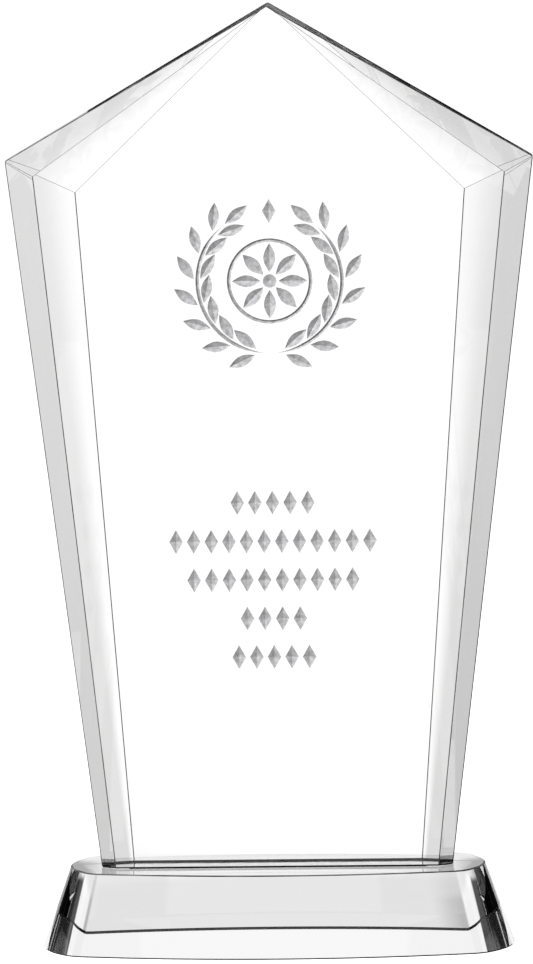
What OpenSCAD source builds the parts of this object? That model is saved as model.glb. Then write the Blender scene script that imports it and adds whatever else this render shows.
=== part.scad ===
// Crystal award: a pentagonal plaque of clear glass bonded upright on a tapered glass base.
// Frame: origin at the middle of the underside of the base, +Z up, the engraved face looks towards -Y.

/* [Base] */
// Length of the base along its underside
base_len = 118.6; // [112:0.1:130]
// Depth of the base, front to back, along its underside
base_depth = 48; // [42:0.5:48]
// Height of the base
base_h = 20.7; // [15:0.1:26]
// Lean of the two end faces from vertical, in degrees
end_slope = 19.5; // [5:0.5:22]
// Lean of the two long faces from vertical, in degrees
side_slope = 10; // [2:0.5:14]
// Plan radius of the bowed long faces at the underside
side_radius = 200; // [160:5:210]
// Radius of the bowed end faces, about an axis that leans with them
end_radius = 23.5; // [21.5:0.5:28]

/* [Plaque] */
// Width of the plaque across its shoulders
shoulder_w = 131.5; // [110:0.5:150]
// Width of the plaque across its foot
foot_w = 88; // [70:0.5:94]
// Height of the shoulders above the foot
shoulder_h = 177.7; // [150:0.1:190]
// Height of the apex above the foot
apex_h = 215.9; // [205:0.1:240]
// Thickness of the plaque at its apex and across its flat faces
plaque_t = 16; // [14:0.5:20]

/* [Bevels] */
// Width of the front bevel at the shoulder
front_bevel_w = 6.65; // [4:0.05:9]
// Depth of the front bevel at the shoulder
front_bevel_d = 4.5; // [2:0.1:5]
// Width of the back bevel at the shoulder
back_bevel_w = 16; // [10:0.5:20]
// Depth of the back bevel at the shoulder
back_bevel_d = 7.5; // [4:0.1:8]
// Size of the front bevel at the foot, as a share of its size at the shoulder
front_foot_share = 0.53; // [0.3:0.01:0.8]
// Size of the back bevel at the foot, as a share of its size at the shoulder
back_foot_share = 0.47; // [0.3:0.01:0.8]

/* [Bond] */
// Thickness of the clear adhesive film under the plaque
film_t = 0.1; // [0.05:0.05:0.3]
// How far the film stays inside the edges of the plaque foot
film_margin = 0.3; // [0:0.1:1]

/* [Engraving] */
// Depth of the engraving in the front face
engrave_d = 0.5; // [0.2:0.1:0.8]
// Height of the emblem's middle above the foot
emblem_z = 147.5; // [140:0.5:152]
// Radius of the wreath's stem
wreath_r = 18; // [14:0.5:20]
// Number of leaf pairs on each half of the wreath
leaf_pairs = 7; // [5:1:9]
// Height of the middle row of lozenges above the foot
rows_z = 72.6; // [60:0.1:80]
// Distance from one row of lozenges to the next
row_pitch = 9.7; // [8:0.1:11]
// Distance from one lozenge to the next in a row
lozenge_pitch = 4.4; // [4:0.1:5]
// Width of a lozenge
lozenge_w = 3.4; // [2:0.1:3.8]
// Height of a lozenge
lozenge_h = 6; // [3:0.1:7]

/* [Hidden] */
$fn = 96;

// Facets on the large arcs, so that they are smooth to the eye.
arc_fn = 360;
eps = 0.5;

plaque_z = base_h + film_t;
front_y = -plaque_t / 2;
back_y = plaque_t / 2;

// Outline of the plaque in the X-Z plane, right half.
apex = [0, plaque_z + apex_h];
shoulder = [shoulder_w / 2, plaque_z + shoulder_h];
foot = [foot_w / 2, plaque_z];

// Wreath: the angle left open on each side of the top, the leaves and their stem.
// Rosette: petals round a hub, inside a ring. A lozenge stands in the wreath's opening.
wreath_gap = 40;
leaf_len = 7.2;
leaf_w = 2.7;
leaf_turn = 33;
leaf_gap = 0.8;
stem_w = 0.9;
stem_start = 5;
petals = 8;
petal_len = 7.2;
petal_w = 3;
hub_r = 1.7;
ring_r = 10.2;
ring_w = 0.9;
crest_z = 17.5;

// Number of lozenges in each row, from the top row down.
rows = [5, 12, 10, 4, 5];

function unit(v) = v / norm(v);

// The point at distance w from both edges that meet at corner c.
function inset_corner(c, a, b, w) =
    let (u = unit(a - c), v = unit(b - c))
    c + (u + v) * w / abs(u[0] * v[1] - u[1] * v[0]);

// A point of the X-Z outline, placed at depth y.
function at_y(p, y) = [p[0], y, p[1]];

// Everything beyond the plane through three points, on the side of cross(q - p, r - p).
module beyond(p, q, r) {
    n = cross(q - p, r - p);
    reach = 600;
    translate(p)
        rotate([0, acos(n[2] / norm(n)), atan2(n[1], n[0])])
            translate([-reach / 2, -reach / 2, 0])
                cube([reach, reach, reach / 2]);
}

// The two planes that bevel one half of a face: one along the roof edge, one down the side.
// face_y is the face, into is +1 where the bevel goes towards +Y, and share is its size at the foot.
module bevel_half(face_y, into, w, d, share) {
    corner = at_y(inset_corner(shoulder, apex, foot, w), face_y);
    top = at_y(apex, face_y);
    outer = at_y(shoulder, face_y + into * d);
    low = at_y(foot, face_y + into * d * share);
    if (into > 0) {
        beyond(top, corner, outer);
        beyond(outer, corner, low);
    } else {
        beyond(top, outer, corner);
        beyond(outer, low, corner);
    }
}

module plaque_body() {
    outline = [foot, shoulder, apex, [-shoulder[0], shoulder[1]], [-foot[0], foot[1]]];
    translate([0, back_y, 0])
        rotate([90, 0, 0])
            linear_extrude(height = plaque_t)
                polygon(outline);
}

// A pointed leaf along +X from the origin, cut into the front face.
module leaf(l, w) {
    r = (l * l + w * w) / (4 * w);
    translate([l / 2, 0, 0])
        intersection() {
            translate([0, r - w / 2, 0]) cylinder(h = engrave_d + eps, r = r, $fn = arc_fn);
            translate([0, w / 2 - r, 0]) cylinder(h = engrave_d + eps, r = r, $fn = arc_fn);
        }
}

module ring(r, w) {
    difference() {
        cylinder(h = engrave_d + eps, r = r + w / 2, $fn = arc_fn);
        translate([0, 0, -eps]) cylinder(h = engrave_d + 3 * eps, r = r - w / 2, $fn = arc_fn);
    }
}

module lozenge(w, h) {
    linear_extrude(height = engrave_d + eps)
        polygon([[w / 2, 0], [0, h / 2], [-w / 2, 0], [0, -h / 2]]);
}

// One half of the wreath: a stem with leaf pairs, from the bottom up to the opening at the top.
module wreath_half() {
    sweep = 180 - wreath_gap;
    step = sweep / leaf_pairs;
    rotate([0, 0, -90 + stem_start])
        rotate_extrude(angle = sweep - stem_start, $fn = arc_fn)
            translate([wreath_r - stem_w / 2, 0])
                square([stem_w, engrave_d + eps]);
    for (i = [0 : leaf_pairs - 1])
        rotate([0, 0, -90 + (i + 0.4) * step])
            translate([wreath_r, 0, 0])
                for (side = [-1, 1])
                    rotate([0, 0, 90 + side * leaf_turn])
                        translate([leaf_gap / sin(leaf_turn), 0, 0])
                            leaf(leaf_len, leaf_w);
    rotate([0, 0, -90 + sweep])
        translate([wreath_r, leaf_gap, 0])
            rotate([0, 0, 90])
                leaf(leaf_len, leaf_w);
}

module emblem() {
    wreath_half();
    mirror([1, 0, 0]) wreath_half();
    for (i = [0 : petals - 1])
        rotate([0, 0, i * 360 / petals])
            translate([hub_r + 0.5, 0, 0]) leaf(petal_len, petal_w);
    cylinder(h = engrave_d + eps, r = hub_r);
    ring(ring_r, ring_w);
    translate([0, crest_z, 0]) lozenge(lozenge_w, lozenge_h);
}

module lozenge_rows() {
    middle_row = (len(rows) - 1) / 2;
    for (i = [0 : len(rows) - 1]) {
        middle = (rows[i] - 1) / 2;
        for (j = [0 : rows[i] - 1])
            translate([(j - middle) * lozenge_pitch, (middle_row - i) * row_pitch, 0])
                lozenge(lozenge_w, lozenge_h);
    }
}

// Puts a drawing made in X-Y on the front face, at a height above the foot, sunk by the engraving depth.
module on_front(z) {
    translate([0, front_y + engrave_d, plaque_z + z])
        rotate([90, 0, 0])
            children();
}

module crystal_plaque() {
    color([0.93, 0.96, 0.97, 0.6])
        difference() {
            plaque_body();
            for (side = [0, 1])
                mirror([side, 0, 0]) {
                    bevel_half(front_y, 1, front_bevel_w, front_bevel_d, front_foot_share);
                    bevel_half(back_y, -1, back_bevel_w, back_bevel_d, back_foot_share);
                }
            on_front(emblem_z) emblem();
            on_front(rows_z) lozenge_rows();
        }
}

// The adhesive film fills the joint under the plaque's foot.
module bond_film() {
    film_w = foot_w - 2 * (front_bevel_w + film_margin);
    film_depth = plaque_t - 2 * film_margin;
    color([0.85, 0.9, 0.92, 0.8])
        translate([-film_w / 2, -film_depth / 2, base_h])
            cube([film_w, film_depth, film_t]);
}

// A wide cone whose wall is one long face of the base. Its axis stands side_y off the middle.
module long_face(side_y) {
    translate([0, side_y, 0])
        cylinder(h = base_h, r1 = side_radius, r2 = side_radius - base_h * tan(side_slope), $fn = arc_fn);
}

// A leaning cylinder whose wall is one end face of the base. Its axis meets the underside at end_x.
module end_face(end_x) {
    translate([end_x, 0, 0])
        rotate([0, -end_slope, 0])
            translate([0, 0, -base_h])
                cylinder(h = 3 * base_h, r = end_radius, $fn = arc_fn);
}

// The base is bounded by two wide cones, front and back, and by one leaning cylinder at each end.
module crystal_base() {
    end_x = base_len / 2 - end_radius / cos(end_slope);
    top_x = end_x - base_h * tan(end_slope);
    side_y = side_radius - base_depth / 2;
    color([0.9, 0.94, 0.95, 0.6])
        intersection() {
            long_face(side_y);
            long_face(-side_y);
            union() {
                end_face(end_x);
                mirror([1, 0, 0]) end_face(end_x);
                translate([0, base_depth, 0])
                    rotate([90, 0, 0])
                        linear_extrude(height = 2 * base_depth)
                            polygon([[-end_x, 0], [end_x, 0], [top_x, base_h], [-top_x, base_h]]);
            }
        }
}

crystal_base();
bond_film();
crystal_plaque();
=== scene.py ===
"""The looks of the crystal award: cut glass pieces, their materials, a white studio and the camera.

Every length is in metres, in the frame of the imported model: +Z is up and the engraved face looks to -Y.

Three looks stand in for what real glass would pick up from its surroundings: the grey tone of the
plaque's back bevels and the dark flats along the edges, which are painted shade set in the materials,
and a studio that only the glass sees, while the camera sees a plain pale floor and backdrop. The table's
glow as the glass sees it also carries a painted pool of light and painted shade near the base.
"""

import math

import bmesh
import bpy
from mathutils import Matrix, Vector


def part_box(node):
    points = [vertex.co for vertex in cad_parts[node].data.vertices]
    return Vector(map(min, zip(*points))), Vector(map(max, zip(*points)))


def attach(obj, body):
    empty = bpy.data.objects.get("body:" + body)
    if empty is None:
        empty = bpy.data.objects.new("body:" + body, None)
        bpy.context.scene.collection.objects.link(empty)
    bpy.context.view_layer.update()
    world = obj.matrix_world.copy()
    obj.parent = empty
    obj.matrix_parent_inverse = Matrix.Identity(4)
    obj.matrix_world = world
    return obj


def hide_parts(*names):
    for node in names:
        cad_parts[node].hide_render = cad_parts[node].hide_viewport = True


MM = 0.001
TINY = 1e-6
CUT_TOLERANCE = 1e-8

# The order of the materials on the plaque, and the place of the edge material on the base. The edge
# materials carry painted shade: their near-black colour stands in for the dark surroundings real edges
# show.
CLEAR_MATERIAL = 0
ARRIS_MATERIAL = 1
FROSTED_MATERIAL = 2
DARK_MATERIAL = 3
BASE_ARRIS_MATERIAL = 1

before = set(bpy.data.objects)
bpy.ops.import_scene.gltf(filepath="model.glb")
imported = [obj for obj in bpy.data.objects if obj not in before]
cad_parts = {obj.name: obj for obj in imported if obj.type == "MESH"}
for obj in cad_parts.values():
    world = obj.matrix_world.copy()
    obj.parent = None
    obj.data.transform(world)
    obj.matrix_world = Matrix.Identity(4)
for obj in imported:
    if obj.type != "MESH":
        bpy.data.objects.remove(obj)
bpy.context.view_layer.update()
plaque_low, plaque_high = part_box("crystal_plaque")
base_low, base_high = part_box("crystal_base")

# Plaque: its outline and its bevels, as the CAD part has them.
FRONT_Y = plaque_low.y
MIDDLE_Y = 0.0
BACK_Y = plaque_high.y
FOOT_Z = plaque_low.z
APEX = Vector((0, plaque_high.z))
SHOULDER = Vector((plaque_high.x, FOOT_Z + 177.7 * MM))
FOOT = Vector((44.0 * MM, FOOT_Z))
FRONT_BEVEL = {"width": 6.65 * MM, "depth": 4.5 * MM, "foot_share": 0.53}
BACK_BEVEL = {"width": 16.0 * MM, "depth": 7.5 * MM, "foot_share": 0.47}

# How far the flat on each kind of edge is set back from the edge.
ARRIS = 0.14 * MM
FINE_ARRIS = 0.05 * MM
RIM_ARRIS = 0.25 * MM
FOOT_ARRIS = 0.3 * MM

# A face belongs to the rim if its normal has less Y than the first, and is a bevel below the second.
RIM_NORMAL_Y = 0.1
FLAT_NORMAL_Y = 0.99

# Base: its outline at the underside, and how far its faces lean from vertical.
BASE_HALF_LENGTH = 59.3 * MM
BASE_HALF_DEPTH = 24.0 * MM
SIDE_RADIUS = 200.0 * MM
END_RADIUS = 23.5 * MM
SIDE_LEAN = math.radians(10)
END_LEAN = math.radians(19.5)
BASE_ARRIS = 0.3 * MM
BASE_FOOT_ARRIS = 0.36 * MM
CORNER_REACH = 2.2 * MM
SIDE_STEPS = 72
END_STEPS = 40
CORNER_STEPS = 12
HALVINGS = 50
SHARP_ANGLE = math.radians(20)

# Engraving, all of it V-cut into the front face. The shallowest is a groove's depth towards its tips, as
# a share of what its width would give. A leaf's phase is where the first pair stands, in leaf steps, and
# the stem reaches its full width after one part in STEM_SWELL of its length.
CUT_DEPTH = 0.6 * MM
SHALLOWEST = 0.4
EMBLEM_Z = FOOT_Z + 147.5 * MM
ROWS_Z = FOOT_Z + 72.6 * MM
WREATH_RADIUS = 18.0 * MM
WREATH_GAP = math.radians(40)
LEAF_PAIRS = 7
LEAF_LENGTH = 7.2 * MM
LEAF_WIDTH = 2.7 * MM
LEAF_TURN = math.radians(33)
LEAF_START = 0.8 * MM
LEAF_PHASE = 0.4
LEAF_STEPS = 10
STEM_WIDTH = 0.9 * MM
STEM_START = math.radians(5)
STEM_SWELL = 6
STEM_STEPS = 48
PETALS = 8
PETAL_LENGTH = 7.2 * MM
PETAL_WIDTH = 3.0 * MM
HUB_RADIUS = 1.7 * MM
HUB_STEPS = 24
PETAL_START = HUB_RADIUS + 0.5 * MM
RING_RADIUS = 10.2 * MM
RING_WIDTH = 0.9 * MM
RING_STEPS = 64
CREST_Z = 17.5 * MM
ROW_COUNTS = (5, 12, 10, 4, 5)
ROW_PITCH = 9.7 * MM
LOZENGE_PITCH = 4.4 * MM
LOZENGE_WIDTH = 3.4 * MM
LOZENGE_HEIGHT = 6.0 * MM

# Clear glass: its tint, and the finest haze of hand polishing. Each noise scale is in cells per metre.
GLASS_IOR = 1.517
GLASS_TINT = (0.985, 0.985, 0.983, 1)
POLISH_HAZE = 0.006
POLISH_RANGE = (0.5, 0.8)
POLISH_DETAIL = 4.0
BASE_POLISH_SCALE = 45.0
PLAQUE_POLISH_SCALE = 60.0

# The painted shade of the back bevels: a grey painted into the glass where real bevels pick up dim
# surroundings.
# It is full at the thin rim and gone at the flat back face. Each depth is the Y where it is full: at the
# shoulders, and at the foot and the apex, where the bevels are shallow.
PAINTED_BEVEL_SHADE = (0.46, 0.46, 0.457, 1)
BEVEL_SHADE_FULL = 3.6 * MM
BEVEL_SHADE_FULL_AT_FOOT = 7.4 * MM
BEVEL_SHADE_FULL_AT_APEX = 7.8 * MM
# How much clearer the full tone is from the shoulders up than at the foot, where it is densest.
BEVEL_SHADE_CLEARNESS = 0.38

# Ground flats along the edges, whose near-black tones are painted shade that stands in for the dark
# surroundings real edges show. The clearness is how much light passes them, and how glossy they are.
ARRIS_CLEARNESS = 0.5
DARK_CLEARNESS = 0.03
ARRIS_PAINTED_SHADES = ((0.004, 0.004, 0.0042, 1), (0.035, 0.035, 0.037, 1))
ARRIS_TONE_SCALE = 120.0
WHEEL_SCALE = 2500.0
WHEEL_ROUGHNESS = (0.22, 0.4)
WHEEL_BUMP = 0.3
WHEEL_BUMP_DEPTH = 0.05 * MM

# Frosted engraving.
FROST_CLEARNESS = 0.2
FROST_TONES = ((0.08, 0.08, 0.082, 1), (0.14, 0.14, 0.143, 1))
FROST_TONE_SCALE = 900.0
GRAIN_SCALE = 4500.0
GRAIN_DETAIL = 2.0
GRAIN_ROUGHNESS = (0.45, 0.65)
GRAIN_BUMP = 0.35
GRAIN_BUMP_DEPTH = 0.1 * MM

# Cured adhesive.
ADHESIVE_IOR = 1.49
ADHESIVE_TINT = (0.9, 0.92, 0.92, 1)
FLOW_SCALE = 350.0
FLOW_ROUGHNESS = (0.02, 0.12)
FLOW_BUMP = 0.1
FLOW_BUMP_DEPTH = 0.1 * MM

# The part of a noise that is spread over a full range, for roughness and for tones.
NOISE_RANGE = (0.3, 0.7)
TONE_RANGE = (0.35, 0.7)

# What the camera sees: a plain pale floor and backdrop.
WHITE = (1.0, 1.0, 1.0, 1)
FLOOR_HALF = 30.0
FLOOR_DROP = 0.05 * MM
FLOOR_COLOR = (0.15, 0.15, 0.15, 1)
FLOOR_ROUGHNESS = 0.9
FLOOR_GLOW = 0.92
BACKDROP = 1.05

# What the glass sees above the table: tall softboxes ahead, behind and to each side, and one overhead,
# in a dim room with a few glints. How square a direction is to the award runs from 1, ahead or behind,
# to -1, off to the sides. Each pair is where one tone gives way to the next.
BOX_BRIGHT = 0.95
ROOM_DIM = 0.012
ROOM_GLINT = 0.4
GLINT_SCALE = 22.0
GLINT_DETAIL = 5.0
GLINT_RANGE = (0.58, 0.78)
BACK_BOX_EDGE = (0.3, 0.38)
SIDE_BOX_EDGE = (-0.68, -0.82)
BOX_FOOT = (0.07, 0.1)
OVERHEAD = (0.75, 0.87)

# What it sees below: the white table, and close to the corners of the base, through a window in the
# table, a soft grey band and low dark cards. They give the base its dark ends. The table's glow itself is
# a painted pool of light with painted shade: it dims close to the base, and under the base it is a
# painted shadow that darkens towards the ends. The window's pairs and UNDER_END are distances from the
# middle of the base, CARD_TOP is how steeply a direction falls, and the cards' edges and the first number
# of each band stop are how square a direction is.
# The table's glow as the glass sees it is a painted pool of light, brightest square to the award.
FAR_AHEAD = 1.1
FAR_CORNER = 0.95
FAR_FOCUS = 6.0
FAR_LEFT_RIGHT = (0.93, 1.07)
TABLE_TONE = 0.8
BAND_STOPS = ((0.77, 1.0), (0.82, 0.5), (0.85, 0.5), (0.89, TABLE_TONE))
# The dark of the low cards, and of the painted shadow on the table under the ends of the base.
DARK_OF_CARDS_AND_PAINTED_SHADOW = 0.03
UNDER_END = (0.043, 0.05)
CARD_TOP = (-0.455, -0.48)
CARD_BACK_EDGE = (0.21, 0.13)
CARD_SIDE_EDGE = (-0.62, -0.7)
WINDOW_SIDE = (0.021, 0.024)
WINDOW_DEPTH = (0.036, 0.043)
WINDOW_END = (0.057, 0.064)
WINDOW_HAZE = 0.5

# The key light.
KEY_POWER = 230.0
KEY_SIZE = 0.5
KEY_PLACE = Vector((-0.9, -1.2, 1.2))
KEY_AIM = Vector((0, 0, 0.12))

# Camera: far off with a long lens, a little above the award, to its right and rolled slightly.
CAMERA_PLACE = Vector((0.0628, -2.4, 0.3996))
CAMERA_HEADING = math.radians(1.538)
CAMERA_PITCH = math.radians(6.712)
CAMERA_ROLL = math.radians(0.75)
CAMERA_LENS = 361.0
SENSOR_WIDTH = 36.0

LIGHT_BOUNCES = 24
GLOSSY_BOUNCES = 16


# ---------------------------------------------------------------- mesh helpers


def new_object(name, bm, materials):
    """Turns a bmesh into an object of the scene that has these materials."""
    mesh = bpy.data.meshes.new(name)
    bm.to_mesh(mesh)
    bm.free()
    for material in materials:
        mesh.materials.append(material)
    obj = bpy.data.objects.new(name, mesh)
    bpy.context.scene.collection.objects.link(obj)
    return obj


def cut_convex(bm, point, normal, material_index=CLEAR_MATERIAL):
    """Cuts away what lies beyond a plane, and closes the cut with one face."""
    geometry = bm.verts[:] + bm.edges[:] + bm.faces[:]
    bmesh.ops.bisect_plane(
        bm,
        geom=geometry,
        dist=CUT_TOLERANCE,
        plane_co=point,
        plane_no=normal,
        clear_outer=True,
    )
    rim = [e for e in bm.edges if e.is_boundary]
    if rim:
        for face in bmesh.ops.holes_fill(bm, edges=rim)["faces"]:
            face.material_index = material_index


def arris_of(edge, foot):
    """How far the flat on an edge is set back, and its material.

    It takes the darkest painted shade at the foot and along the rim, and is fine above the shoulders and
    where two bevels meet.
    """
    if all(vert.co.z < foot + ARRIS for vert in edge.verts):
        return FOOT_ARRIS, DARK_MATERIAL
    facing = [abs(face.normal.y) for face in edge.link_faces]
    if min(facing) < RIM_NORMAL_Y:
        return RIM_ARRIS, DARK_MATERIAL
    above_shoulders = edge.verts[0].co.z + edge.verts[1].co.z > 2 * SHOULDER.y
    between_bevels = max(facing) < FLAT_NORMAL_Y
    if above_shoulders or between_bevels:
        return FINE_ARRIS, ARRIS_MATERIAL
    return ARRIS, ARRIS_MATERIAL


def cut_arrises(bm):
    """Takes a narrow flat off every edge of a convex solid, as a polisher does."""
    foot = min(vert.co.z for vert in bm.verts)
    flats = []
    for edge in bm.edges:
        bisector = (edge.link_faces[0].normal + edge.link_faces[1].normal).normalized()
        setback, material_index = arris_of(edge, foot)
        drop = setback * math.tan(edge.calc_face_angle() / 2)
        middle = (edge.verts[0].co + edge.verts[1].co) / 2
        flats.append((middle - bisector * drop, bisector, material_index))
    for point, normal, material_index in flats:
        cut_convex(bm, point, normal, material_index)


# ---------------------------------------------------------------- plaque


def at_depth(point, y):
    """A point of the X-Z outline, placed at depth y."""
    return Vector((point.x, y, point.y))


def inset_corner(corner, a, b, width):
    """The point at one distance from both edges that meet at a corner."""
    u = (a - corner).normalized()
    v = (b - corner).normalized()
    return corner + (u + v) * width / abs(u.cross(v))


def bevel_planes(face_y, inward, bevel):
    """The planes that bevel a face's right half: along the roof edge, and down the side."""
    corner = at_depth(inset_corner(SHOULDER, APEX, FOOT, bevel["width"]), face_y)
    top = at_depth(APEX, face_y)
    outer = at_depth(SHOULDER, face_y + inward * bevel["depth"])
    low = at_depth(FOOT, face_y + inward * bevel["depth"] * bevel["foot_share"])
    planes = []
    for a, b in ((top, corner), (corner, low)):
        normal = (b - a).cross(outer - a).normalized()
        if normal.y * inward > 0:
            normal.negate()
        planes.append((outer, normal))
    return planes


def plaque_planes():
    """Every plane of the plaque, as a point and an outward normal."""
    roof = at_depth(APEX - SHOULDER, 0).cross(Vector((0, 1, 0))).normalized()
    wall = at_depth(SHOULDER - FOOT, 0).cross(Vector((0, 1, 0))).normalized()
    right = [(at_depth(SHOULDER, 0), -roof), (at_depth(SHOULDER, 0), -wall)]
    right += bevel_planes(FRONT_Y, 1, FRONT_BEVEL)
    right += bevel_planes(BACK_Y, -1, BACK_BEVEL)
    right = [(p, n if n.x > 0 else -n) for p, n in right]
    left = [(Vector((-p.x, p.y, p.z)), Vector((-n.x, n.y, n.z))) for p, n in right]
    flat = [
        (Vector((0, FRONT_Y, 0)), Vector((0, -1, 0))),
        (Vector((0, BACK_Y, 0)), Vector((0, 1, 0))),
        (Vector((0, 0, FOOT_Z)), Vector((0, 0, -1))),
    ]
    return right + left + flat


def straight_spine(start, direction, length, width):
    """A leaf's spine: points with half-widths that swell from nothing and back."""
    spine = []
    for i in range(LEAF_STEPS + 1):
        t = i / LEAF_STEPS
        half_width = width / 2 * math.sin(math.pi * t)
        spine.append((start + direction * length * t, half_width))
    return spine


def arc_spine(radius, start, end, width):
    """A stem's spine: an arc about the middle of the emblem that tapers at both ends."""
    spine = []
    for i in range(STEM_STEPS + 1):
        t = i / STEM_STEPS
        angle = start + (end - start) * t
        half_width = width / 2 * min(1, STEM_SWELL * t, STEM_SWELL * (1 - t))
        spine.append((Vector((math.cos(angle), math.sin(angle))) * radius, half_width))
    return spine


def mirrored(spine):
    """The same spine on the other side of the emblem."""
    return [(Vector((-p.x, p.y)), w) for p, w in spine]


def wreath_half():
    """The stem and leaves on the wreath's right side."""
    sweep = math.pi - WREATH_GAP
    bottom = -math.pi / 2
    grooves = [arc_spine(WREATH_RADIUS, bottom + STEM_START, bottom + sweep, STEM_WIDTH)]
    for i in range(LEAF_PAIRS):
        angle = bottom + (i + LEAF_PHASE) * sweep / LEAF_PAIRS
        root = Vector((math.cos(angle), math.sin(angle))) * WREATH_RADIUS
        for side in (-1, 1):
            heading = angle + math.pi / 2 + side * LEAF_TURN
            direction = Vector((math.cos(heading), math.sin(heading)))
            start = root + direction * LEAF_START / math.sin(LEAF_TURN)
            grooves.append(straight_spine(start, direction, LEAF_LENGTH, LEAF_WIDTH))
    angle = bottom + sweep
    end = Vector((math.cos(angle), math.sin(angle))) * WREATH_RADIUS
    direction = Vector((-math.sin(angle), math.cos(angle)))
    start = end + direction * LEAF_START
    grooves.append(straight_spine(start, direction, LEAF_LENGTH, LEAF_WIDTH))
    return grooves


def emblem_grooves():
    """All the tapered cuts of the emblem, about its own middle."""
    half = wreath_half()
    grooves = half + [mirrored(spine) for spine in half]
    for i in range(PETALS):
        angle = i * 2 * math.pi / PETALS
        direction = Vector((math.cos(angle), math.sin(angle)))
        start = direction * PETAL_START
        grooves.append(straight_spine(start, direction, PETAL_LENGTH, PETAL_WIDTH))
    return grooves


def lozenge(middle):
    """The four corners of one lozenge."""
    return [
        middle + Vector((LOZENGE_WIDTH / 2, 0)),
        middle + Vector((0, LOZENGE_HEIGHT / 2)),
        middle - Vector((LOZENGE_WIDTH / 2, 0)),
        middle - Vector((0, LOZENGE_HEIGHT / 2)),
    ]


def circle(radius, steps):
    """Points round a circle about the origin."""
    turns = [2 * math.pi * i / steps for i in range(steps)]
    return [Vector((math.cos(a), math.sin(a))) * radius for a in turns]


def lozenge_middles():
    """Where each lozenge of the five rows stands, on the plaque."""
    middles = []
    for row, count in enumerate(ROW_COUNTS):
        z = ROWS_Z + ((len(ROW_COUNTS) - 1) / 2 - row) * ROW_PITCH
        for i in range(count):
            middles.append(Vector(((i - (count - 1) / 2) * LOZENGE_PITCH, z)))
    return middles


class Engraver:
    """Adds V-cuts to a bmesh, and keeps the rims that the front face is then fitted to."""

    def __init__(self, bm):
        self.bm = bm
        self.rim = []

    def vert(self, point, depth):
        """A new vertex under a point of the front face."""
        return self.bm.verts.new((point.x, FRONT_Y + depth, point.y))

    def face(self, verts):
        """A new frosted face that looks out of the cut."""
        made = self.bm.faces.new(verts)
        made.material_index = FROSTED_MATERIAL
        made.normal_update()
        if made.normal.y > 0:
            made.normal_flip()

    def add_rim(self, verts):
        """Keeps the closed line of edges through these vertices."""
        for a, b in zip(verts, verts[1:] + verts[:1]):
            self.rim.append(self.bm.edges.get((a, b)) or self.bm.edges.new((a, b)))

    def pit(self, outline, middle):
        """A pit with straight sides that meet at one point under its middle."""
        verts = [self.vert(p, 0) for p in outline]
        floor = self.vert(middle, CUT_DEPTH)
        for a, b in zip(verts, verts[1:] + verts[:1]):
            self.face((a, b, floor))
        self.add_rim(verts)

    def groove(self, spine, offset):
        """A V-groove along a spine that comes to a point at both ends."""
        deepest = max(w for _, w in spine)
        left, right, floor = [], [], []
        for i, (point, half_width) in enumerate(spine):
            before = spine[max(i - 1, 0)][0]
            after = spine[min(i + 1, len(spine) - 1)][0]
            along = (after - before).normalized()
            across = Vector((-along.y, along.x)) * half_width
            if i in (0, len(spine) - 1):
                tip = self.vert(point + offset, 0)
                left.append(tip)
                right.append(tip)
                floor.append(tip)
                continue
            fullness = SHALLOWEST + (1 - SHALLOWEST) * half_width / deepest
            depth = min(CUT_DEPTH, half_width) * fullness
            left.append(self.vert(point + across + offset, 0))
            right.append(self.vert(point - across + offset, 0))
            floor.append(self.vert(point + offset, depth))
        for side in (left, right):
            for i in range(len(spine) - 1):
                corners = (side[i], side[i + 1], floor[i + 1], floor[i])
                self.face(list(dict.fromkeys(corners)))
        self.add_rim(left + right[-2:0:-1])

    def ring(self, radius, width, offset):
        """A round V-groove."""
        loops = []
        for r, depth in (
            (radius - width / 2, 0),
            (radius, width / 2),
            (radius + width / 2, 0),
        ):
            loops.append([self.vert(p + offset, depth) for p in circle(r, RING_STEPS)])
        for inner, outer in zip(loops, loops[1:]):
            for i in range(len(inner)):
                j = (i + 1) % len(inner)
                self.face((inner[i], inner[j], outer[j], outer[i]))
        self.add_rim(loops[0])
        self.add_rim(loops[2])


def engrave(bm):
    """Opens the front face and closes it again round the V-cuts."""
    front = max(bm.faces, key=lambda f: -f.normal.y * f.calc_area())
    border = front.edges[:]
    bmesh.ops.delete(bm, geom=[front], context="FACES_ONLY")
    tool = Engraver(bm)
    emblem = Vector((0, EMBLEM_Z))
    for spine in emblem_grooves():
        tool.groove(spine, emblem)
    tool.pit([emblem + p for p in circle(HUB_RADIUS, HUB_STEPS)], emblem)
    tool.ring(RING_RADIUS, RING_WIDTH, emblem)
    for middle in [emblem + Vector((0, CREST_Z))] + lozenge_middles():
        tool.pit(lozenge(middle), middle)
    made = bmesh.ops.triangle_fill(
        bm, use_beauty=True, use_dissolve=False, edges=border + tool.rim, normal=(0, -1, 0)
    )
    for face in made["geom"]:
        if isinstance(face, bmesh.types.BMFace):
            face.material_index = CLEAR_MATERIAL
            face.normal_update()
            if face.normal.y > 0:
                face.normal_flip()


def make_plaque(glass, ground, frosted, dark):
    """The plaque: a convex block cut by its planes, with flats along its edges and the engraving."""
    bm = bmesh.new()
    bmesh.ops.create_cube(bm, size=1.0)
    for point, normal in plaque_planes():
        cut_convex(bm, point, normal)
    cut_arrises(bm)
    engrave(bm)
    plaque = new_object("plaque_glass", bm, [glass, ground, frosted, dark])
    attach(plaque, "root")
    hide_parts("crystal_plaque")


# ---------------------------------------------------------------- base


def front_y(x, side_radius):
    """Where the front arc of the base stands at x."""
    return SIDE_RADIUS - BASE_HALF_DEPTH - math.sqrt(side_radius**2 - x**2)


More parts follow.
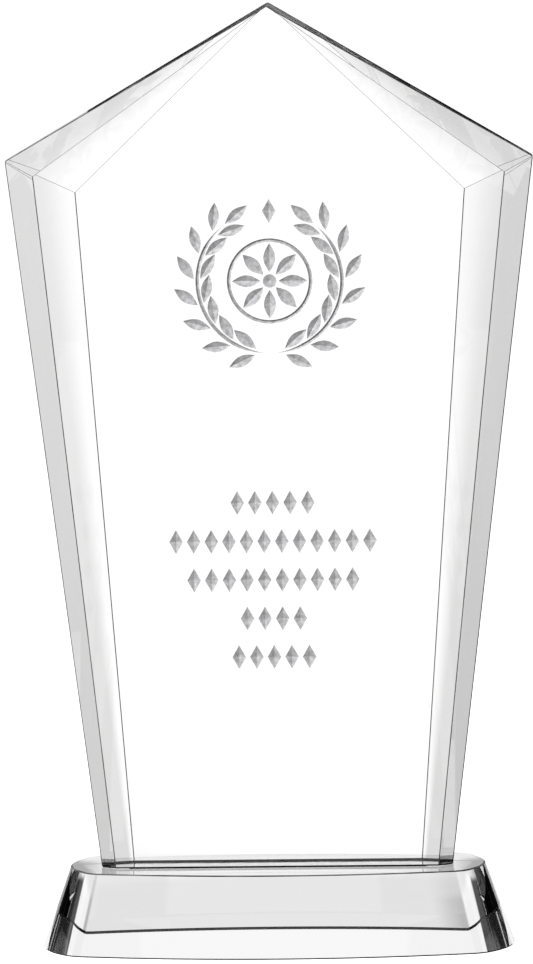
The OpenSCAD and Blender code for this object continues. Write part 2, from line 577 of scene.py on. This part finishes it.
def crossing(side_radius, end_x, end_radius):
    """Where the front arc meets the right end's ellipse."""
    low = end_x
    high = end_x + end_radius / math.cos(END_LEAN)
    for _ in range(HALVINGS):
        x = (low + high) / 2
        end_y = end_radius * math.sqrt(1 - ((x - end_x) * math.cos(END_LEAN) / end_radius) ** 2)
        if end_y > -front_y(x, side_radius):
            low = x
        else:
            high = x
    return Vector((x, front_y(x, side_radius)))


def rounded_corner(start, corner, end):
    """The points between start and end on a smooth curve that turns inside the corner."""
    points = []
    for i in range(1, CORNER_STEPS):
        t = i / CORNER_STEPS
        points.append(start * (1 - t) ** 2 + corner * 2 * t * (1 - t) + end * t**2)
    return points


def base_outline(z, inset):
    """The base's outline at height z, drawn in by inset: four curves with softly rounded corners."""
    end_x = BASE_HALF_LENGTH - END_RADIUS / math.cos(END_LEAN) - z * math.tan(END_LEAN)
    side_radius = SIDE_RADIUS - z * math.tan(SIDE_LEAN) - inset
    end_radius = END_RADIUS - inset
    corner = crossing(side_radius, end_x, end_radius)
    side_half = math.asin(corner.x / side_radius) - CORNER_REACH / side_radius
    end_half = math.asin(-corner.y / end_radius) - CORNER_REACH / end_radius
    front, right = [], []
    for i in range(SIDE_STEPS + 1):
        x = side_radius * math.sin(side_half * (2 * i / SIDE_STEPS - 1))
        front.append(Vector((x, front_y(x, side_radius))))
    for i in range(END_STEPS + 1):
        a = end_half * (2 * i / END_STEPS - 1)
        x = end_x + end_radius / math.cos(END_LEAN) * math.cos(a)
        right.append(Vector((x, end_radius * math.sin(a))))
    back_corner = Vector((corner.x, -corner.y))
    half = front + rounded_corner(front[-1], corner, right[0])
    half += right + rounded_corner(right[-1], back_corner, -front[0])
    return half + [-p for p in half]


def make_base(glass, dark):
    """The base: rings of its outline from the underside to the top, closed by two flat faces.

    Between the rings stand the flat along the lower edge, the wall, and the flat along the upper edge.
    """
    height = base_high.z - base_low.z
    levels = [
        (0, BASE_FOOT_ARRIS),
        (BASE_FOOT_ARRIS, 0),
        (height - BASE_ARRIS, 0),
        (height, BASE_ARRIS),
    ]
    bm = bmesh.new()
    rings = []
    for z, inset in levels:
        rings.append([bm.verts.new((p.x, p.y, z)) for p in base_outline(z, inset)])
    # The flats along the edges take the darkest painted shade.
    band_materials = (BASE_ARRIS_MATERIAL, CLEAR_MATERIAL, BASE_ARRIS_MATERIAL)
    for low, high, material_index in zip(rings, rings[1:], band_materials):
        for i in range(len(low)):
            j = (i + 1) % len(low)
            face = bm.faces.new((low[i], low[j], high[j], high[i]))
            face.smooth = True
            face.material_index = material_index
    bm.faces.new(reversed(rings[0]))
    bm.faces.new(rings[-1])
    base = new_object("base_glass", bm, [glass, dark])
    base.data.set_sharp_from_angle(angle=SHARP_ANGLE)
    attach(base, "root")
    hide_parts("crystal_base")


# ---------------------------------------------------------------- materials


class Nodes:
    """Short ways to add nodes to one node tree."""

    def __init__(self, tree):
        self.tree = tree

    def add(self, kind, settings=None, **inputs):
        """A new node with these settings and inputs. An underscore in an input's name is a space."""
        node = self.tree.nodes.new(kind)
        for key, value in (settings or {}).items():
            setattr(node, key, value)
        for key, value in inputs.items():
            self.set(node, key.replace("_", " "), value)
        return node

    def set(self, node, key, value):
        """Links a socket to an input, or sets the input to a value."""
        if isinstance(value, bpy.types.NodeSocket):
            self.tree.links.new(value, node.inputs[key])
        else:
            node.inputs[key].default_value = value

    def math(self, operation, a, b=0.0):
        node = self.add("ShaderNodeMath", {"operation": operation})
        self.set(node, 0, a)
        self.set(node, 1, b)
        return node.outputs[0]

    def highest(self, first, *others):
        result = first
        for other in others:
            result = self.math("MAXIMUM", result, other)
        return result

    def place(self, kind):
        """Where the shaded point is, in one kind of texture coordinate."""
        return self.add("ShaderNodeTexCoord").outputs[kind]

    def split(self, vector):
        node = self.add("ShaderNodeSeparateXYZ", Vector=vector)
        return node.outputs[0], node.outputs[1], node.outputs[2]

    def noise(self, scale, detail=3.0):
        node = self.add("ShaderNodeTexNoise", Vector=self.place("Object"), Scale=scale, Detail=detail)
        return node.outputs["Fac"]

    def range(self, value, low, high, to_low=0.0, to_high=1.0, smooth=False):
        """Maps low to high onto to_low to to_high, and holds the ends beyond."""
        node = self.add("ShaderNodeMapRange", Value=value)
        node.interpolation_type = "SMOOTHSTEP" if smooth else "LINEAR"
        for key, number in (
            ("From Min", low),
            ("From Max", high),
            ("To Min", to_low),
            ("To Max", to_high),
        ):
            self.set(node, key, number)
        return node.outputs["Result"]

    def bump(self, height, strength, distance):
        node = self.add("ShaderNodeBump", Height=height, Strength=strength, Distance=distance)
        return node.outputs["Normal"]

    def blotches(self, scale, tones):
        """A tone that wanders between two."""
        ramp = self.add("ShaderNodeValToRGB", Fac=self.noise(scale))
        for stop, position, tone in zip(ramp.color_ramp.elements, TONE_RANGE, tones):
            stop.position = position
            stop.color = tone
        return ramp.outputs["Color"]

    def mix(self, factor, first, second):
        """The first shader where the factor is 0, and the second where it is 1."""
        node = self.add("ShaderNodeMixShader", Fac=factor)
        self.set(node, 1, first)
        self.set(node, 2, second)
        return node.outputs[0]


def new_material(name):
    """A new material, its nodes, and its Principled shader."""
    material = bpy.data.materials.new(name)
    material.use_nodes = True
    nodes = Nodes(material.node_tree)
    return material, nodes, nodes.tree.nodes["Principled BSDF"]


def polish(nodes, shader, scale):
    """Makes a shader clear polished glass, its gloss broken up a little by the haze of hand polishing."""
    nodes.set(shader, "Transmission Weight", 1.0)
    nodes.set(shader, "IOR", GLASS_IOR)
    haze = nodes.range(nodes.noise(scale, POLISH_DETAIL), *POLISH_RANGE, 0.0, POLISH_HAZE)
    nodes.set(shader, "Roughness", haze)


def base_glass():
    """Polished optical glass."""
    material, nodes, shader = new_material("base_glass")
    polish(nodes, shader, BASE_POLISH_SCALE)
    nodes.set(shader, "Base Color", GLASS_TINT)
    return material


def plaque_glass():
    """The same glass, with the grey of the back bevels painted in as shade, from the flat face out to the
    thin rim.
    """
    material, nodes, shader = new_material("plaque_glass")
    polish(nodes, shader, PLAQUE_POLISH_SCALE)
    # Painted shade: the grey of the back bevels is painted into the colour by depth and height, densest
    # at the foot.
    _, depth, height = nodes.split(nodes.place("Object"))
    full_below = nodes.range(height, FOOT_Z, SHOULDER.y, BEVEL_SHADE_FULL_AT_FOOT, BEVEL_SHADE_FULL)
    full_above = nodes.range(height, SHOULDER.y, APEX.y, BEVEL_SHADE_FULL, BEVEL_SHADE_FULL_AT_APEX)
    full = nodes.highest(full_below, full_above)
    toward_back_face = nodes.range(depth, full, BACK_Y, smooth=True)
    clearness = nodes.range(height, FOOT_Z, SHOULDER.y, 0.0, BEVEL_SHADE_CLEARNESS)
    bevel_shade = nodes.range(toward_back_face, 0.0, 1.0, clearness, 1.0)
    front_half = nodes.math("LESS_THAN", depth, MIDDLE_Y)
    tone = nodes.add("ShaderNodeValToRGB", Fac=nodes.highest(bevel_shade, front_half))
    tone.color_ramp.elements[0].color = PAINTED_BEVEL_SHADE
    tone.color_ramp.elements[1].color = GLASS_TINT
    nodes.set(shader, "Base Color", tone.outputs["Color"])
    return material


def ground_flat_with_painted_shade(name, clearness):
    """The narrow flats along the edges, ground but not polished, with near-black tones painted in as
    shade, so they read as fine dark lines.
    """
    material, nodes, shader = new_material(name)
    nodes.set(shader, "Transmission Weight", clearness)
    nodes.set(shader, "Specular IOR Level", clearness)
    nodes.set(shader, "IOR", GLASS_IOR)
    wheel = nodes.noise(WHEEL_SCALE)
    nodes.set(shader, "Roughness", nodes.range(wheel, *NOISE_RANGE, *WHEEL_ROUGHNESS))
    nodes.set(shader, "Base Color", nodes.blotches(ARRIS_TONE_SCALE, ARRIS_PAINTED_SHADES))
    nodes.set(shader, "Normal", nodes.bump(wheel, WHEEL_BUMP, WHEEL_BUMP_DEPTH))
    return material


def frosted_glass():
    """The sand-carved glass of the engraving: a fine even grain that scatters light."""
    material, nodes, shader = new_material("frosted_engraving")
    nodes.set(shader, "Transmission Weight", FROST_CLEARNESS)
    nodes.set(shader, "IOR", GLASS_IOR)
    grain = nodes.noise(GRAIN_SCALE, GRAIN_DETAIL)
    nodes.set(shader, "Roughness", nodes.range(grain, *NOISE_RANGE, *GRAIN_ROUGHNESS))
    nodes.set(shader, "Base Color", nodes.blotches(FROST_TONE_SCALE, FROST_TONES))
    nodes.set(shader, "Normal", nodes.bump(grain, GRAIN_BUMP, GRAIN_BUMP_DEPTH))
    return material


def adhesive():
    """The cured adhesive: clear, with faint flow marks."""
    material, nodes, shader = new_material("bond_adhesive")
    nodes.set(shader, "Base Color", ADHESIVE_TINT)
    nodes.set(shader, "Transmission Weight", 1.0)
    nodes.set(shader, "IOR", ADHESIVE_IOR)
    flow = nodes.noise(FLOW_SCALE)
    nodes.set(shader, "Roughness", nodes.range(flow, *NOISE_RANGE, *FLOW_ROUGHNESS))
    nodes.set(shader, "Normal", nodes.bump(flow, FLOW_BUMP, FLOW_BUMP_DEPTH))
    return material


# ---------------------------------------------------------------- studio


def squareness(nodes, x, y):
    """1 straight ahead of the award and behind it, -1 off to its two sides, 0 half way between."""
    xx = nodes.math("MULTIPLY", x, x)
    yy = nodes.math("MULTIPLY", y, y)
    total = nodes.math("ADD", nodes.math("ADD", xx, yy), TINY)
    return nodes.math("DIVIDE", nodes.math("SUBTRACT", yy, xx), total)


def distance(nodes, x, y):
    """How far a place on the table is from the middle of the base."""
    xx = nodes.math("MULTIPLY", x, x)
    yy = nodes.math("MULTIPLY", y, y)
    return nodes.math("SQRT", nodes.math("ADD", xx, yy))


def glow(nodes, kind, strength):
    """White light of this strength, from an emission or a background shader."""
    return nodes.add(kind, Color=WHITE, Strength=strength).outputs[0]


def under_base(nodes, x, y):
    """1 where the base stands on the table, and 0 elsewhere."""
    bow = nodes.math("DIVIDE", nodes.math("MULTIPLY", x, x), 2 * SIDE_RADIUS)
    depth = nodes.math("ADD", nodes.math("ABSOLUTE", y), bow)
    within_depth = nodes.math("LESS_THAN", depth, BASE_HALF_DEPTH)
    within_length = nodes.math("LESS_THAN", nodes.math("ABSOLUTE", x), BASE_HALF_LENGTH)
    return nodes.math("MULTIPLY", within_depth, within_length)


def far_tone(nodes, x, y):
    """The table's glow round the base, a painted pool of light: brightest square to the award, and a
    little brighter on its right, with painted shade that dims it to TABLE_TONE close to the base.
    """
    facing = nodes.math("ABSOLUTE", squareness(nodes, x, y))
    focus = nodes.math("POWER", facing, FAR_FOCUS)
    tone = nodes.range(focus, 0.0, 1.0, FAR_CORNER, FAR_AHEAD)
    reach = distance(nodes, x, y)
    turn = nodes.math("DIVIDE", x, nodes.math("ADD", reach, TINY))
    tone = nodes.math("MULTIPLY", tone, nodes.range(turn, -1.0, 1.0, *FAR_LEFT_RIGHT))
    # Painted shade: the glow dims to TABLE_TONE close to the base.
    away = nodes.range(reach, *WINDOW_END, smooth=True)
    return nodes.range(away, 0.0, 1.0, TABLE_TONE, tone)


def tables_glow(nodes, x, y):
    """The table as the glass sees it, with the window near the corners of the base, and a painted shadow
    under the base that darkens towards its ends.
    """
    off_middle = nodes.math("ABSOLUTE", x)
    off_axis = nodes.math("ABSOLUTE", y)
    covered = under_base(nodes, x, y)
    # Painted shadow: under the base the glow falls from TABLE_TONE to dark towards the ends.
    below = nodes.range(off_middle, *UNDER_END, TABLE_TONE, DARK_OF_CARDS_AND_PAINTED_SHADOW, smooth=True)
    tone = nodes.range(covered, 0.0, 1.0, far_tone(nodes, x, y), below)
    haze = nodes.range(off_axis, *WINDOW_DEPTH, 0.0, WINDOW_HAZE, smooth=True)
    past = nodes.range(off_axis, *WINDOW_END, smooth=True)
    inward = nodes.range(off_middle, *WINDOW_SIDE, 1.0, 0.0, smooth=True)
    outward = nodes.range(off_middle, *WINDOW_END, smooth=True)
    solid = nodes.highest(haze, past, inward, outward, covered)
    clear = nodes.add("ShaderNodeBsdfTransparent").outputs[0]
    return nodes.mix(solid, clear, glow(nodes, "ShaderNodeEmission", tone))


def seen_by(nodes, glass_sees, camera_sees):
    """One shader for the rays that come through or off the pieces, and another for the camera's own."""
    camera_ray = nodes.add("ShaderNodeLightPath").outputs["Is Camera Ray"]
    return nodes.mix(camera_ray, glass_sees, camera_sees)


def make_floor():
    """A wide white table top. The camera sees it plain, and the glass sees the table's glow, with its
    painted pool of light and painted shade near the base.
    """
    bm = bmesh.new()
    corners = ((-1, -1), (1, -1), (1, 1), (-1, 1))
    bm.faces.new([bm.verts.new((x * FLOOR_HALF, y * FLOOR_HALF, -FLOOR_DROP)) for x, y in corners])
    material, nodes, shader = new_material("white_floor")
    nodes.set(shader, "Base Color", FLOOR_COLOR)
    nodes.set(shader, "Roughness", FLOOR_ROUGHNESS)
    nodes.set(shader, "Specular IOR Level", 0.0)
    nodes.set(shader, "Emission Color", WHITE)
    nodes.set(shader, "Emission Strength", FLOOR_GLOW)
    x, y, _ = nodes.split(nodes.place("Object"))
    surface = seen_by(nodes, tables_glow(nodes, x, y), shader.outputs[0])
    nodes.set(nodes.tree.nodes["Material Output"], "Surface", surface)
    new_object("floor", bm, [material])


def tone_above(nodes, square, z):
    """How bright the studio is above the table."""
    behind = nodes.range(square, *BACK_BOX_EDGE, smooth=True)
    beside = nodes.range(square, *SIDE_BOX_EDGE, smooth=True)
    upright = nodes.range(z, *BOX_FOOT, smooth=True)
    overhead = nodes.range(z, *OVERHEAD, smooth=True)
    tall = nodes.math("MULTIPLY", nodes.math("MAXIMUM", behind, beside), upright)
    boxes = nodes.math("MAXIMUM", tall, overhead)
    room = nodes.place("Generated")
    glints = nodes.add("ShaderNodeTexNoise", Vector=room, Scale=GLINT_SCALE, Detail=GLINT_DETAIL)
    dim = nodes.range(glints.outputs["Fac"], *GLINT_RANGE, ROOM_DIM, ROOM_GLINT)
    return nodes.range(boxes, 0.0, 1.0, dim, BOX_BRIGHT)


def tone_below(nodes, square, z):
    """What shows through the table's window: white, with a soft band and low dark cards."""
    facing = nodes.math("ABSOLUTE", square)
    ramp = nodes.add("ShaderNodeValToRGB", Fac=facing)
    stops = ramp.color_ramp.elements
    stops[0].position = BAND_STOPS[0][0]
    stops[1].position = BAND_STOPS[-1][0]
    for position, _ in BAND_STOPS[1:-1]:
        stops.new(position)
    for stop, (_, tone) in zip(stops, BAND_STOPS):
        stop.color = (tone, tone, tone, 1)
    behind = nodes.range(square, *CARD_BACK_EDGE, smooth=True)
    beside = nodes.range(square, *CARD_SIDE_EDGE, 1.0, 0.0, smooth=True)
    low = nodes.range(z, *CARD_TOP, smooth=True)
    card = nodes.math("MULTIPLY", nodes.math("MULTIPLY", behind, beside), low)
    return nodes.range(card, 0.0, 1.0, ramp.outputs["Color"], DARK_OF_CARDS_AND_PAINTED_SHADOW)


def make_world():
    """The studio that the glass sees, in front of a plain pale backdrop that the camera sees."""
    world = bpy.data.worlds.new("studio")
    bpy.context.scene.world = world
    world.use_nodes = True
    nodes = Nodes(world.node_tree)
    x, y, z = nodes.split(nodes.place("Generated"))
    square = squareness(nodes, x, y)
    above = nodes.math("GREATER_THAN", z, 0.0)
    below_tone = tone_below(nodes, square, z)
    above_tone = tone_above(nodes, square, z)
    strength = nodes.range(above, 0.0, 1.0, below_tone, above_tone)
    room = glow(nodes, "ShaderNodeBackground", strength)
    backdrop = glow(nodes, "ShaderNodeBackground", BACKDROP)
    surface = seen_by(nodes, room, backdrop)
    nodes.set(nodes.tree.nodes["World Output"], "Surface", surface)


def make_key_light():
    """A soft light high to the left of the camera. Only matt surfaces show it, such as the engraving."""
    data = bpy.data.lights.new("key", "AREA")
    data.size = KEY_SIZE
    data.energy = KEY_POWER
    key = bpy.data.objects.new("key", data)
    bpy.context.scene.collection.objects.link(key)
    key.visible_glossy = False
    key.visible_transmission = False
    turn = (KEY_AIM - KEY_PLACE).to_track_quat("-Z", "Y").to_matrix().to_4x4()
    key.matrix_world = Matrix.Translation(KEY_PLACE) @ turn


def make_camera():
    """The camera at its place, turned to its heading, tilted and rolled."""
    data = bpy.data.cameras.new("camera")
    data.sensor_width = SENSOR_WIDTH
    data.lens = CAMERA_LENS
    camera = bpy.data.objects.new("camera", data)
    bpy.context.scene.collection.objects.link(camera)
    heading = Matrix.Rotation(CAMERA_HEADING, 4, "Z")
    tilt = Matrix.Rotation(math.pi / 2 - CAMERA_PITCH, 4, "X")
    roll = Matrix.Rotation(-CAMERA_ROLL, 4, "Z")
    camera.matrix_world = Matrix.Translation(CAMERA_PLACE) @ heading @ tilt @ roll
    bpy.context.scene.camera = camera


def set_light_paths():
    """Glass needs many bounces, and whites stay white with the plain transform."""
    scene = bpy.context.scene
    scene.cycles.max_bounces = LIGHT_BOUNCES
    scene.cycles.transmission_bounces = LIGHT_BOUNCES
    scene.cycles.glossy_bounces = GLOSSY_BOUNCES
    scene.view_settings.view_transform = "Standard"


# Both edge materials are painted near-black, a painted shade along the edges.
darkest_painted_flat = ground_flat_with_painted_shade("darkest_painted_flat", DARK_CLEARNESS)
light_arris = ground_flat_with_painted_shade("ground_flat_with_painted_shade", ARRIS_CLEARNESS)
make_plaque(plaque_glass(), light_arris, frosted_glass(), darkest_painted_flat)
make_base(base_glass(), darkest_painted_flat)
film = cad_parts["bond_film"]
film.data.materials.clear()
film.data.materials.append(adhesive())
make_floor()
make_world()
make_key_light()
make_camera()
set_light_paths()
